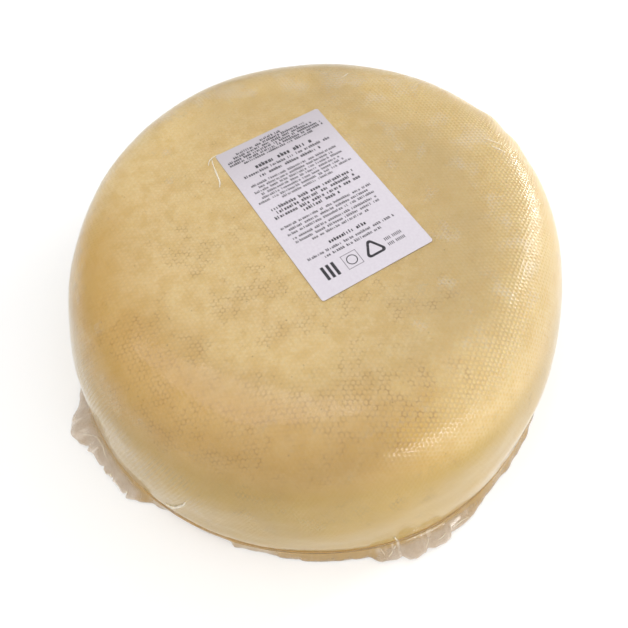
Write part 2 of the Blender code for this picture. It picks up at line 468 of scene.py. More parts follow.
def piece(name, mesh, material, replaced=None):
    """Puts a finished mesh in the scene as a piece of the object."""
    item = bpy.data.objects.new(name, mesh)
    bpy.context.scene.collection.objects.link(item)
    mesh.materials.append(material)
    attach(item, "root")
    if replaced:
        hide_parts(replaced)
    return item


# Materials

def waves(tree, place, rates):
    """Cosine waves across a surface, each given by how many there are to a mm in its two directions."""
    found = []
    for across, down in rates:
        way = (2 * math.pi * across, 2 * math.pi * down, 0.0)
        along = add(tree, "VectorMath", {"operation": "DOT_PRODUCT"}, {0: place, 1: way}, "Value")
        found.append(add(tree, "Math", {"operation": "COSINE"}, {0: along}))
    return found


def mould_net(tree):
    """The press mould's mesh: 0 on the net's threads, up to 1 in the middle of each knot's pit.

    It lies level across the top and runs round the wall, and the two meet on the shoulder.
    """
    top = add(tree, "Attribute", {"attribute_name": "top_place"}, out="Vector")
    wall = add(tree, "Attribute", {"attribute_name": "wall_place"}, out="Vector")
    far = add(tree, "Attribute", {"attribute_name": "distance"}, out="Fac")
    upright = add(tree, "Attribute", {"attribute_name": "upright"}, out="Fac")
    hatched = add(tree, "Attribute", {"attribute_name": "hatched"}, out="Fac")
    turns = [TOP_TURN + 2 * math.pi / 3 * step for step in range(3)]
    rates = [(math.cos(turn) / TOP_ROWS, math.sin(turn) / TOP_ROWS) for turn in turns]
    top_sum = 0.0
    for wave in waves(tree, top, rates):
        top_sum = add(tree, "Math", PLUS, {0: top_sum, 1: wave})
    knots = WALL_KNOTS / (2 * math.pi * WHEEL_RADIUS / MM)
    rates = ((knots, WALL_SLANT), (knots, -WALL_SLANT), (0.0, 2 * WALL_SLANT))
    right, left, level = waves(tree, wall, rates)
    # In upright stripes one slant is strong and the rest weak, and in a hatching the level rows are weak
    less = add(tree, "Math", TIMES_PLUS, {0: upright, 1: -0.9, 2: 1.0})
    more = add(tree, "Math", TIMES_PLUS, {0: upright, 1: 1.3, 2: 1.0})
    left = add(tree, "Math", TIMES, {0: left, 1: less})
    slanted = add(tree, "Math", TIMES_PLUS, {0: right, 1: more, 2: left})
    plain = add(tree, "Math", TIMES_PLUS, {0: hatched, 1: -0.8, 2: less})
    plain = add(tree, "Math", {"operation": "MAXIMUM"}, {0: plain, 1: 0.0})
    wall_sum = add(tree, "Math", TIMES_PLUS, {0: level, 1: plain, 2: slanted})
    border = add(tree, "MapRange", SMOOTH, {"Value": far, "From Min": 128.0, "From Max": 142.0})
    total = add(tree, "Mix", NUMBERS, {0: border, 2: top_sum, 3: wall_sum})
    return add(tree, "MapRange", {}, {"Value": total, "From Min": -1.5, "From Max": 2.6})


def cloud(tree, size_mm, detail=3.0, roughness=0.55, shift=0.0):
    """Soft random clouding of a size in mm, about 0.3 to 0.7."""
    place = add(tree, "TexCoord", out="Object")
    moved = add(tree, "VectorMath", PLUS, {0: place, 1: (shift, shift, shift)})
    inputs = {"Vector": moved, "Scale": 1000.0 / size_mm, "Detail": detail, "Roughness": roughness}
    return add(tree, "TexNoise", {}, inputs)


def print_depth(tree):
    """How deep the mould's mesh is printed: faint over most of the top, full where the press bore down."""
    crisp = add(tree, "Attribute", {"attribute_name": "crisp"}, out="Fac")
    worn = cloud(tree, 20, 3.0, 0.6, 9.0)
    worn = add(tree, "MapRange", {},
               {"Value": worn, "From Min": 0.35, "From Max": 0.65, "To Min": 0.05, "To Max": 0.4})
    return add(tree, "Math", TIMES_PLUS, {0: crisp, 1: 1.6, 2: worn})


def cheese_material():
    """Semi-hard cheese, pressed in a mesh-lined mould.

    A warm straw-gold body that lets a little light in, a dense matt rind with the mould's mesh printed
    as small pits, brownish rings where brine dried in them, and a few dark specks. Shade is painted in
    as a darker colour in the pits and a deeper gold on the near shoulder.
    """
    material, tree = new_material("pressed_cheese")
    net = mould_net(tree)
    far = add(tree, "Attribute", {"attribute_name": "distance"}, out="Fac")
    marked = add(tree, "Attribute", {"attribute_name": "marked"}, out="Fac")

    # Broad drifts of tone, 45 mm, and fine mottling, 4 mm
    drift = add(tree, "MapRange", {}, {"Value": cloud(tree, 45), "From Min": 0.32, "From Max": 0.68})
    mottle = cloud(tree, 4.0, 4.0, 0.6)
    mottle = add(tree, "MapRange", {}, {"Value": mottle, "From Min": 0.3, "From Max": 0.7})
    body = add(tree, "Mix", COLOURS, {0: drift, 6: paint("#E5CA88"), 7: paint("#E9CE90")}, 2)
    mottled = add(tree, "Math", TIMES, {0: mottle, 1: 0.45})
    body = add(tree, "Mix", COLOURS, {0: mottled, 6: body, 7: paint("#ECD69A")}, 2)

    # Pale grains of curd, 1.8 mm
    grains = cloud(tree, 1.8, 2.0, 0.6, 13.0)
    grains = add(tree, "MapRange", {}, {"Value": grains, "From Min": 0.42, "From Max": 0.72, "To Max": 0.4})
    body = add(tree, "Mix", COLOURS, {0: grains, 6: body, 7: paint("#F5E7B8")}, 2)

    # Deeper gold in soft blotches of 9 mm
    blotch = cloud(tree, 9, 4.0, 0.6, 11.0)
    blotch = add(tree, "MapRange", SMOOTH,
                 {"Value": blotch, "From Min": 0.42, "From Max": 0.66, "To Max": 0.5})
    body = add(tree, "Mix", COLOURS, {0: blotch, 6: body, 7: paint("#DBB968")}, 2)

    # The right of the top and its far rim are a duller, greyer gold
    dull = add(tree, "Attribute", {"attribute_name": "dull"}, out="Fac")
    dull = add(tree, "Math", TIMES, {0: dull, 1: 0.62})
    body = add(tree, "Mix", COLOURS, {0: dull, 6: body, 7: paint("#CDB170")}, 2)

    # The wall is a plain tan gold
    wall = add(tree, "MapRange", SMOOTH,
               {"Value": far, "From Min": 126.0, "From Max": 144.0, "To Max": 0.85})
    body = add(tree, "Mix", COLOURS, {0: wall, 6: body, 7: paint("#CEB052")}, 2)

    # The near shoulder, turned away from the lights, is painted a deeper gold as shade
    deep = add(tree, "Attribute", {"attribute_name": "deep"}, out="Fac")
    deep = add(tree, "Math", TIMES, {0: deep, 1: 0.8})
    body = add(tree, "Mix", COLOURS, {0: deep, 6: body, 7: paint("#C69B2D")}, 2)

    # Where brine dried in the net's print its threads are stained brown, in loose broken chains of rings
    chain = cloud(tree, 11, 3.0, 0.6, 3.0)
    chain = add(tree, "Math", TIMES_PLUS, {0: marked, 1: 0.17, 2: chain})
    chain = add(tree, "MapRange", SMOOTH, {"Value": chain, "From Min": 0.61, "From Max": 0.75})
    broken = cloud(tree, 2.8, 3.0, 0.6, 7.0)
    broken = add(tree, "MapRange", {}, {"Value": broken, "From Min": 0.44, "From Max": 0.62})
    ring = add(tree, "MapRange", SMOOTH,
               {"Value": net, "From Min": 0.10, "From Max": 0.30, "To Min": 1.0, "To Max": 0.0})
    ring = add(tree, "Math", TIMES, {0: ring, 1: chain})
    ring = add(tree, "Math", TIMES, {0: ring, 1: broken})
    stain = add(tree, "Math", TIMES_PLUS, {0: chain, 1: 0.1, 2: ring})
    stain = add(tree, "Math", {"operation": "MULTIPLY", "use_clamp": True}, {0: stain, 1: 0.46})
    body = add(tree, "Mix", COLOURS, {0: stain, 6: body, 7: paint("#A9781C")}, 2)

    # Dark specks, 0.5 mm across, one in each few square centimetres
    top = add(tree, "Attribute", {"attribute_name": "top_place"}, out="Vector")
    spot = add(tree, "TexVoronoi", {}, {"Vector": top, "Scale": 1 / 6.5}, "Distance")
    speck = add(tree, "MapRange", SMOOTH,
                {"Value": spot, "From Min": 0.035, "From Max": 0.06, "To Min": 0.6, "To Max": 0.0})
    body = add(tree, "Mix", COLOURS, {0: speck, 6: body, 7: paint("#7E5A28")}, 2)

    # Each knot's pit is painted a little darker than the threads' print, as shade in the pit
    printed = print_depth(tree)
    net = add(tree, "Math", TIMES, {0: net, 1: printed})
    pit = add(tree, "Math", {"operation": "MULTIPLY", "use_clamp": True}, {0: net, 1: 0.2})
    body = add(tree, "Mix", COLOURS, {0: pit, 6: body, 7: paint("#B48D44")}, 2)

    # Pits 0.11 mm deep where the print is full, and a grain of 2.2 mm
    depth = add(tree, "Math", TIMES, {0: net, 1: -0.11})
    grain = add(tree, "Math", TIMES_PLUS, {0: cloud(tree, 2.2, 4.0), 1: 0.12, 2: depth})
    normal = add(tree, "Bump", {}, {"Height": grain, "Distance": MM, "Strength": 0.8})
    shader = add(tree, "BsdfPrincipled", {"subsurface_method": "RANDOM_WALK"}, {
        "Base Color": body, "Roughness": 0.42, "IOR": 1.45, "Normal": normal,
        "Subsurface Weight": 0.15, "Subsurface Radius": (1.0, 0.6, 0.25), "Subsurface Scale": 3.0 * MM,
    })
    add(tree, "OutputMaterial", {}, {"Surface": shader})
    return material


def film_material():
    """Clear multi-layer shrink film, drawn tight by vacuum.

    Where it clings it only adds gloss, broken up by the mesh print below. Where it has let go of the rind
    a thin layer of air makes it milky, with the net showing as pale threads.
    """
    material, tree = new_material("shrink_film")
    net = mould_net(tree)
    far = add(tree, "Attribute", {"attribute_name": "distance"}, out="Fac")
    lifted = add(tree, "Attribute", {"attribute_name": "lifted"}, out="Fac")

    # Let-go patches: clouds of 14 mm with ragged edges, where the strokes of lifted film allow them
    ragged = cloud(tree, 14, 5.0, 0.62, 1.0)
    loose = add(tree, "Math", TIMES_PLUS, {0: lifted, 1: 0.24, 2: ragged})
    loose = add(tree, "MapRange", SMOOTH, {"Value": loose, "From Min": 0.53, "From Max": 0.84})
    thread = add(tree, "MapRange", SMOOTH,
                 {"Value": net, "From Min": 0.2, "From Max": 0.6, "To Min": 1.0, "To Max": 0.0})
    side = add(tree, "MapRange", SMOOTH, {"Value": far, "From Min": 118.0, "From Max": 140.0})
    # On the top such a patch is milky all over, and on the wall only its threads are
    top_weave = add(tree, "Math", TIMES_PLUS, {0: thread, 1: 0.18, 2: 0.12})
    wall_weave = add(tree, "Math", TIMES, {0: thread, 1: 0.36})
    weave = add(tree, "Mix", NUMBERS, {0: side, 2: top_weave, 3: wall_weave})
    milk = add(tree, "Math", TIMES, {0: loose, 1: weave})

    # The whole film is faintly hazy, a little less on the wall, and clear over the near shoulder, where
    # dropping its pale veil paints shade
    haze = add(tree, "MapRange", SMOOTH,
               {"Value": far, "From Min": 132.0, "From Max": 148.0, "To Min": 0.05, "To Max": 0.03})
    deep = add(tree, "Attribute", {"attribute_name": "deep"}, out="Fac")
    haze = add(tree, "Math", TIMES_PLUS, {0: deep, 1: -0.06, 2: haze})
    haze = add(tree, "Math", TIMES_PLUS, {0: thread, 1: 0.035, 2: haze})
    milk = add(tree, "Math", {"operation": "MAXIMUM"}, {0: milk, 1: haze})
    printed = print_depth(tree)
    net = add(tree, "Math", TIMES, {0: net, 1: printed})

    # Dips of 0.09 mm over the pits, and wrinkles of 3.5 mm
    depth = add(tree, "Math", TIMES, {0: net, 1: -0.09})
    wrinkle = cloud(tree, 3.5, 4.0, 0.6, 5.0)
    wrinkle = add(tree, "Math", TIMES_PLUS, {0: wrinkle, 1: 0.1, 2: depth})
    normal = add(tree, "Bump", {}, {"Height": wrinkle, "Distance": MM, "Strength": 0.7})
    clear = add(tree, "BsdfTransparent")
    # The milk is cream on the top, and takes on the tan of the rind on the wall
    white = add(tree, "Mix", COLOURS, {0: side, 6: paint("#EDE4D2"), 7: paint("#CBA766")}, 2)
    air = add(tree, "BsdfDiffuse", {}, {"Color": white, "Normal": normal})
    under = add(tree, "MixShader", {}, {0: milk, 1: clear, 2: air})
    gloss = add(tree, "BsdfGlossy", {}, {"Color": (1, 1, 1, 1), "Roughness": 0.13, "Normal": normal})
    # The film lies on the threads and only dips into the pits; their gloss is painted weaker, so they show
    # as dark dots in the highlight
    dulled_pit_gloss = add(tree, "Math", {"operation": "MULTIPLY_ADD", "use_clamp": True}, {0: net, 1: -0.75, 2: 1.0})
    mirror = add(tree, "Fresnel", {}, {"IOR": 1.5, "Normal": normal})
    mirror = add(tree, "Math", TIMES, {0: mirror, 1: dulled_pit_gloss})
    shader = add(tree, "MixShader", {}, {0: mirror, 1: under, 2: gloss})
    add(tree, "OutputMaterial", {}, {"Surface": shader})
    return material


def loose_film_material():
    """The same shrink film, hanging loose in several crumpled layers.

    Layer on layer turns it grey-beige and half clear. Close to the foot the cheese's gold shows through.
    Folds and the cut edge are whitened, partly by strain and partly as painted glints.
    """
    material, tree = new_material("loose_shrink_film")
    fold = add(tree, "Attribute", {"attribute_name": "fold"}, out="Fac")
    crumple = cloud(tree, 5, 4.0, 0.6)
    crumple = add(tree, "MapRange", {}, {"Value": crumple, "From Min": 0.3, "From Max": 0.7})
    cover = add(tree, "Math", TIMES_PLUS, {0: crumple, 1: 0.12, 2: 0.28})
    cover = add(tree, "Math", TIMES_PLUS, {0: fold, 1: 0.35, 2: cover})
    close = add(tree, "Attribute", {"attribute_name": "close"}, out="Fac")
    cover = add(tree, "Math", {"operation": "MULTIPLY_ADD", "use_clamp": True},
                {0: close, 1: 0.38, 2: cover})
    beige, gold = paint("#B89B73"), paint("#B39255")
    colour = add(tree, "Mix", COLOURS, {0: close, 6: beige, 7: gold}, 2)
    # Whitening of folds and the cut edge: partly strain, partly painted glints
    colour = add(tree, "Mix", COLOURS, {0: fold, 6: colour, 7: paint("#F6F2EC")}, 2)
    clear = add(tree, "BsdfTransparent")
    grey = add(tree, "BsdfDiffuse", {}, {"Color": colour})
    under = add(tree, "MixShader", {}, {0: cover, 1: clear, 2: grey})
    gloss = add(tree, "BsdfGlossy", {}, {"Color": (1, 1, 1, 1), "Roughness": 0.16})
    # A thin sheet mirrors alike from either side: 4% seen straight on, and all of the light along its edge
    slant = add(tree, "LayerWeight", out="Facing")
    slant = add(tree, "Math", {"operation": "POWER"}, {0: slant, 1: 5.0})
    mirror = add(tree, "Math", TIMES_PLUS, {0: slant, 1: 0.96, 2: 0.04})
    shader = add(tree, "MixShader", {}, {0: mirror, 1: under, 2: gloss})
    add(tree, "OutputMaterial", {}, {"Surface": shader})
    return material


def creased_film_material(name, code, cover):
    """Shrink film folded tight on itself: a glossy, partly clear ridge whose given colour paints light or
    shade on it, brown for the shadow in the crease at the foot and pale for a glint along a folded ridge.
    """
    material, tree = new_material(name)
    patchy = add(tree, "MapRange", {}, {"Value": cloud(tree, 6, 3.0), "From Min": 0.3, "From Max": 0.7})
    patchy = add(tree, "MapRange", {}, {"Value": patchy, "To Min": cover * 0.45, "To Max": cover})
    clear = add(tree, "BsdfTransparent")
    solid = add(tree, "BsdfPrincipled", {}, {"Base Color": paint(code), "Roughness": 0.22, "IOR": 1.5})
    shader = add(tree, "MixShader", {}, {0: patchy, 1: clear, 2: solid})
    add(tree, "OutputMaterial", {}, {"Surface": shader})
    return material


def paper_material():
    """Self-adhesive label paper, machine coated: cool white, nearly matt, with a faint fibre cloud."""
    material, tree = new_material("label_paper")
    fibre = add(tree, "MapRange", {}, {"Value": cloud(tree, 1.2, 4.0), "From Min": 0.3, "From Max": 0.7})
    colour = add(tree, "Mix", COLOURS, {0: fibre, 6: paint("#CAC3CB"), 7: paint("#D0CAD1")}, 2)
    # The paper is painted in shade towards its far end, duller from 15 mm past the wheel's middle
    place = add(tree, "TexCoord", out="Object")
    up = (-math.sin(LABEL_TURN), math.cos(LABEL_TURN), 0.0)
    end = add(tree, "VectorMath", {"operation": "DOT_PRODUCT"}, {0: place, 1: up}, "Value")
    end = add(tree, "MapRange", SMOOTH,
              {"Value": end, "From Min": 15 * MM, "From Max": 62 * MM, "To Max": 0.75})
    colour = add(tree, "Mix", COLOURS, {0: end, 6: colour, 7: paint("#B0A9AD")}, 2)
    cockle = add(tree, "Math", TIMES, {0: cloud(tree, 25, 1.0), 1: 0.3})
    normal = add(tree, "Bump", {}, {"Height": cockle, "Distance": MM, "Strength": 0.5})
    inputs = {"Base Color": colour, "Roughness": 0.5, "IOR": 1.45, "Normal": normal}
    shader = add(tree, "BsdfPrincipled", {}, inputs)
    add(tree, "OutputMaterial", {}, {"Surface": shader})
    return material


def ink_material():
    """Thermal-transfer print: a thin, slightly shiny black that is thinner in places."""
    material, tree = new_material("black_print")
    worn = add(tree, "MapRange", {}, {"Value": cloud(tree, 0.9, 2.0), "From Min": 0.35, "From Max": 0.65})
    colour = add(tree, "Mix", COLOURS, {0: worn, 6: paint("#1D1B20"), 7: paint("#3A373D")}, 2)
    shader = add(tree, "BsdfPrincipled", {}, {"Base Color": colour, "Roughness": 0.45})
    add(tree, "OutputMaterial", {}, {"Surface": shader})
    return material


def floor_material():
    """Matt white studio paper."""
    material, tree = new_material("studio_paper")
    tone = add(tree, "MapRange", {}, {"Value": cloud(tree, 300, 2.0), "To Min": 0.95, "To Max": 0.97})
    shader = add(tree, "BsdfDiffuse", {}, {"Color": tone})
    add(tree, "OutputMaterial", {}, {"Surface": shader})
    return material


# Hem, creases and folds of the film

def foot_radius(height):
    """Radius of the true round foot at a height under its widest line."""
    turn = math.asin(1 - height / FOOT_DROP)
    return WHEEL_RADIUS - FOOT_REACH + FOOT_REACH * math.cos(turn)


def hem_reach(angle):
    """How far the film's cut edge stands out from its crease in this direction."""
    degrees = math.degrees(angle) % 360
    marks = [mark for mark, _ in HEM_REACH]
    place = bisect.bisect_right(marks, degrees) - 1
    start, low = HEM_REACH[place]
    end, high = HEM_REACH[(place + 1) % len(HEM_REACH)]
    span = (end - start) % 360
    share = eased((degrees - start) / span)
    return (low + (high - low) * share) * MM


def ring_noise(angle, fineness, layer):
    """Random swell round the wheel, which closes on itself after one turn."""
    return noise.noise(Vector((math.cos(angle), math.sin(angle), layer)) * fineness)


def hem_place(angle, share):
    """Place on the hem, from its crease on the foot (0) to its cut edge (1), with fine pleats and nicks."""
    reach = hem_reach(angle)
    still, free = LOOSE_REACHES
    loose = max(0.0, min(1.0, (reach - still) / (free - still)))
    gather = math.sin(GATHERS[0] * angle) + 0.6 * math.sin(GATHERS[1] * angle + 0.8)
    pleat = ring_noise(angle, 32, 0.3)
    tear = max(0.0, ring_noise(angle, 30, 2.0) - 0.28)
    reach -= tear * (1.0 + 2.0 * loose) * MM * share ** 3
    reach += (1 - loose) * EDGE_WOBBLE * ring_noise(angle, 16, 4.0) * share
    for direction, depth, half_width in HEM_NICKS:
        gap = abs((math.degrees(angle) - direction + 180) % 360 - 180)
        reach -= depth * MM * max(0.0, 1 - gap / half_width) * share ** 2
    out = foot_radius(CREASE_HEIGHT) + HEM_STANDOFF + (reach + loose * HEM_SCALLOP * gather) * share
    edge = HEM_FLOOR + HEM_RUFFLE * loose * (1 + 0.25 * gather) * share
    height = CREASE_HEIGHT + (edge - CREASE_HEIGHT) * share ** 0.8
    height += (0.2 + 0.35 * loose) * MM * pleat * math.sin(math.pi * min(1.0, share * 0.8))
    out = max(out, foot_radius(max(0.0, height)) + HEM_STANDOFF * share)
    return pressed((out * math.cos(angle), out * math.sin(angle), max(HEM_FLOOR * 0.6, height)))


def hem_strain_and_glint(angle, share):
    """How much the film is whitened here, from 0 to 1: partly by strain, partly as a painted glint on folds
    and the cut edge.
    """
    ridge = max(0.0, 1 - abs(ring_noise(angle, 32, 0.3)) / 0.12) * 0.5
    patch = noise.noise(Vector((math.cos(angle) * 14, math.sin(angle) * 14, share * 2)))
    edge = eased((share - 0.9) / 0.1)
    loose = eased((hem_reach(angle) - LOOSE_REACHES[0]) / (5 * MM))
    white = ridge * max(0.0, patch + 0.1) * 1.8 + edge * (0.35 + patch)
    return max(0.0, min(1.0, white)) * (0.1 + 0.9 * loose)


def hem_closeness(angle, share):
    """How near the film lies to the cheese here, from 0 out on a gather to 1 along the crease."""
    standing = eased((hem_reach(angle) - LOOSE_REACHES[0]) / (4 * MM)) * eased(share / 0.4)
    return (1 - standing) * (1 - 0.5 * share)


def hem_mesh():
    """The loose hem as one open sheet, from its crease on the foot to its cut edge."""
    vertices = []
    folds = []
    closes = []
    for row in range(HEM_ROWS + 1):
        share = row / HEM_ROWS
        for column in range(HEM_COLUMNS):
            angle = 2 * math.pi * column / HEM_COLUMNS
            vertices.append(hem_place(angle, share))
            folds.append(hem_strain_and_glint(angle, share))
            closes.append(hem_closeness(angle, share))
    faces = []
    for row in range(HEM_ROWS):
        near, far = row * HEM_COLUMNS, (row + 1) * HEM_COLUMNS
        for column in range(HEM_COLUMNS):
            after = (column + 1) % HEM_COLUMNS
            faces.append((near + column, far + column, far + after, near + after))
    mesh = bpy.data.meshes.new("hem_film")
    mesh.from_pydata(vertices, [], faces)
    store(mesh, "fold", "FLOAT", "POINT", folds)
    store(mesh, "close", "FLOAT", "POINT", closes)
    mesh.shade_smooth()
    return mesh


def add_ridge(work, spine, widths, heights, closed=False, sides=6):
    """Adds a low rounded ridge along a line of (place, outward) pairs to a mesh, closed at both ends."""
    rings = []
    count = len(spine)
    for step, (place, outward) in enumerate(spine):
        before = spine[(step - 1) % count if closed else max(0, step - 1)][0]
        after = spine[(step + 1) % count if closed else min(count - 1, step + 1)][0]
        across = (after - before).normalized().cross(outward).normalized()
        ring = []
        for side in range(sides):
            turn = 2 * math.pi * side / sides
            aside = across * (math.cos(turn) * widths[step] / 2)
            ring.append(work.verts.new(place + (aside + outward * (math.sin(turn) * heights[step]))))
        rings.append(ring)
    pairs = list(zip(rings, rings[1:])) + ([(rings[-1], rings[0])] if closed else [])
    for first, last in pairs:
        for side in range(sides):
            other = (side + 1) % sides
            work.faces.new((first[side], first[other], last[other], last[side]))
    if not closed:
        work.faces.new(list(reversed(rings[0])))
        work.faces.new(rings[-1])


def finished_mesh(name, work, smooth=False):
    bmesh.ops.recalc_face_normals(work, faces=work.faces)
    mesh = bpy.data.meshes.new(name)
    work.to_mesh(mesh)
    work.free()
    if smooth:
        mesh.shade_smooth()
    return mesh


def crease_mesh():
    """The two brown lines round the foot, painted shadow where the film's hem leaves the wheel."""
    work = bmesh.new()
    for rise, width, layer in CREASES:
        spine = []
        widths = []
        for step in range(CREASE_STEPS):
            angle = 2 * math.pi * step / CREASE_STEPS
            height = CREASE_HEIGHT + (rise + 0.8 * ring_noise(angle, 5, layer)) * MM
            radius = foot_radius(height) + 0.25 * MM
            outward = Vector((math.cos(angle), math.sin(angle), -0.2)).normalized()
            spine.append((pressed((radius * math.cos(angle), radius * math.sin(angle), height)), outward))
            widths.append(width * MM * (0.75 + 0.6 * ring_noise(angle, 9, layer)))
        add_ridge(work, spine, widths, [size * 0.45 for size in widths], closed=True)
    return finished_mesh("hem_creases", work, smooth=True)


# Folds of the film on the wheel, pale as a painted glint: places on the skin that each runs through, width
# and height in mm
FILM_FOLDS = (
    (((234.6, 196), (236.4, 194.5), (238.2, 188.6), (240.4, 178.5), (241.6, 171)), 1.4, 0.8),
    (((285.4, 195), (286.2, 203), (287.2, 210)), 1.0, 0.6),
    (((145.5, 63), (149.0, 59), (152.5, 55), (156.5, 51.5), (160.0, 50.5)), 0.9, 0.25),
    (((141.0, 62), (146.0, 63.5), (149.5, 62)), 0.5, 0.15),
    (((80.0, 92), (78.5, 96)), 0.5, 0.2),
    (((24.0, 95), (20.5, 101)), 0.5, 0.2),
    (((27.0, 95), (24.0, 101)), 0.5, 0.2),
)

# Folds of the hem, pale ridges that paint its glints: places on it as (direction, share of the way from
# crease to cut edge), width and height in mm
HEM_GLINT_FOLDS = (
    (((207.6, 0.48), (209.4, 0.33), (211.4, 0.35), (213.0, 0.44), (215.6, 0.56)), 0.55, 0.45),
    (((206.3, 0.76), (206.9, 0.58), (207.9, 0.46)), 0.35, 0.25),
    (((217.8, 0.78), (218.4, 0.95)), 0.8, 0.4),
    (((215.2, 0.97), (216.6, 0.97), (218.0, 0.92)), 0.5, 0.3),
    (((223.2, 0.80), (223.8, 0.97)), 0.8, 0.4),
    (((201.6, 0.92), (202.4, 0.86)), 0.5, 0.3),
    (((285.4, 0.42), (284.2, 0.78)), 0.5, 0.4),
    (((282.8, 0.1), (283.6, 0.6)), 0.4, 0.3),
    (((286.2, 0.16), (285.7, 0.3)), 0.7, 0.4),
    (((293.6, 0.42), (292.4, 0.85)), 0.45, 0.35),
    (((295.2, 0.72), (297.6, 0.58)), 0.5, 0.4),
    (((299.6, 0.75), (302.0, 0.7), (304.0, 0.85)), 0.6, 0.4),
)


def smooth_run(places, steps):
    """Places read from a smooth curve through a few given ones."""
    run = []
    for span in range(len(places) - 1):
        before = places[max(0, span - 1)]
        start, end = places[span], places[span + 1]
        after = places[min(len(places) - 1, span + 2)]
        for step in range(steps):
            share = step / steps
            spot = []
            for a, b, c, d in zip(before, start, end, after):
                bend = (2 * b + (c - a) * share + (2 * a - 5 * b + 4 * c - d) * share ** 2
                        + (3 * b - a - 3 * c + d) * share ** 3)
                spot.append(bend / 2)
            run.append(tuple(spot))
    run.append(places[-1])
    return run


def fold_mesh():
    """Thin ridges of film that stand up from the skin."""
    work = bmesh.new()
    up = Vector((0.0, 0.0, 1.0))
    spines = []
    for places, width, height in FILM_FOLDS:
        run = smooth_run(places, FOLD_STEPS)
        spines.append(([skin_place(angle, along, 0.1 * MM) for angle, along in run], width, height))
    for places, width, height in HEM_GLINT_FOLDS:
        run = smooth_run(places, FOLD_STEPS)
        spine = [(hem_place(math.radians(angle), share), up) for angle, share in run]
        spines.append((spine, width, height))
    for spine, width, height in spines:
        last = len(spine) - 1
        taper = [0.15] * (last + 1)
        for step in range(1, last):
            taper[step] = 0.15 + 0.85 * math.sin(math.pi * step / last) ** 0.6
        widths = [width * MM * share for share in taper]
        add_ridge(work, spine, widths, [height * MM * share for share in taper])
    return finished_mesh("film_folds", work, smooth=True)


# Label

def label_place(across, up, lift=0.0):
    """A place on the label's face, from its middle along its width and length."""
    spot = Matrix.Rotation(LABEL_TURN, 3, "Z") @ Vector((across, up, 0.0))
    x, y = spot.x + LABEL_CENTRE[0], spot.y + LABEL_CENTRE[1]
    return Vector((x, y, WHEEL_HEIGHT + LABEL_GAP + LABEL_THICKNESS + top_rise(x, y) + lift))


def add_patch(work, outline, inner=()):
    """Adds a thin patch of ink with a given outline to a mesh, and with a ring's inner outline if given."""
    low = [work.verts.new(label_place(a, b, INK_BASE)) for a, b in outline]
    high = [work.verts.new(label_place(a, b, INK_TOP)) for a, b in outline]
    count = len(outline)
    if not inner:
        work.faces.new(high)
        work.faces.new(list(reversed(low)))
    else:
        low_in = [work.verts.new(label_place(a, b, INK_BASE)) for a, b in inner]
        high_in = [work.verts.new(label_place(a, b, INK_TOP)) for a, b in inner]
        for step in range(count):
            after = (step + 1) % count
            work.faces.new((high[step], high[after], high_in[after], high_in[step]))
            work.faces.new((low[after], low[step], low_in[step], low_in[after]))
            work.faces.new((high_in[step], high_in[after], low_in[after], low_in[step]))
    for step in range(count):
        after = (step + 1) % count
        work.faces.new((low[step], low[after], high[after], high[step]))


def box_outline(left, bottom, width, height):
    right, top = left + width, bottom + height
    return [(left, bottom), (right, bottom), (right, top), (left, top)]


def round_outline(middle, radius, corners, turn=0.0, rounding=0.0, points=8):
    """Outline of a regular shape with rounded corners, or a circle where it has many corners."""
    outline = []
    for corner in range(corners):
        way = turn + 2 * math.pi * corner / corners
        spread = math.pi / corners
        for step in range(points if rounding else 1):
            lean = way + (spread * (2 * step / (points - 1) - 1) if rounding else 0.0)
            outline.append((
                middle[0] + (radius - rounding) * math.cos(way) + rounding * math.cos(lean),
                middle[1] + (radius - rounding) * math.sin(way) + rounding * math.sin(lean),
            ))
    return outline


def print_mesh():
    """Rows of short joined strokes in word-long groups, which spell nothing, over a row of plain shapes."""
    work = bmesh.new()
    draw = random.Random(7)
    for from_top, width, letter, bold in PRINT_LINES:
        pitch = letter * LETTER_PITCH
        thick = letter * bold * MM
        word = draw.randint(*WORD_LETTERS)
        for count in range(int(width / pitch)):
            if word == 0:
                word = draw.randint(*WORD_LETTERS)
                continue
            word -= 1
            tall = draw.choice(STROKE_HEIGHTS) * letter * MM
            wide = pitch * draw.uniform(*LETTER_WIDTHS) * MM
            left = (-width / 2 + count * pitch) * MM
            base = LABEL_LENGTH / 2 - (from_top + letter / 2) * MM
            add_patch(work, box_outline(left, base, thick, tall))
            if draw.random() < SECOND_STROKE_SHARE:
                tall = draw.choice(STROKE_HEIGHTS[:3]) * letter * MM
                add_patch(work, box_outline(left + wide - thick, base, thick, tall))
            rise = draw.choice(CROSS_STROKE_HEIGHTS) * letter * MM
            add_patch(work, box_outline(left + thick, base + rise, wide - 2 * thick, thick * 0.8))
    for step in range(3):
        left = BARS_LEFT + step * BAR_PITCH
        add_patch(work, box_outline(left, SYMBOL_ROW - BAR_HEIGHT / 2, BAR_WIDTH, BAR_HEIGHT))
    middle = (BOX_ACROSS, SYMBOL_ROW)
    add_patch(work, *[round_outline(middle, radius, 4, math.pi / 4) for radius in BOX_RADII])
    add_patch(work, *[round_outline(middle, radius, 28) for radius in RING_RADII])
    middle = (TRIANGLE_ACROSS, SYMBOL_ROW - TRIANGLE_DROP)
    outer, inner = [round_outline(middle, radius, 3, math.pi / 2, rounding)
                    for radius, rounding in (TRIANGLE_OUTER, TRIANGLE_INNER)]
    add_patch(work, outer, inner)
    for drop in TICK_ROWS:
        for tick in range(TICKS):
            if tick == TICK_LEFT_OUT:
                continue
            left = TICKS_LEFT + tick * TICK_PITCH
            add_patch(work, box_outline(left, SYMBOL_ROW + drop, TICK_WIDTH, TICK_HEIGHT))
    return finished_mesh("label_print", work)


# Studio

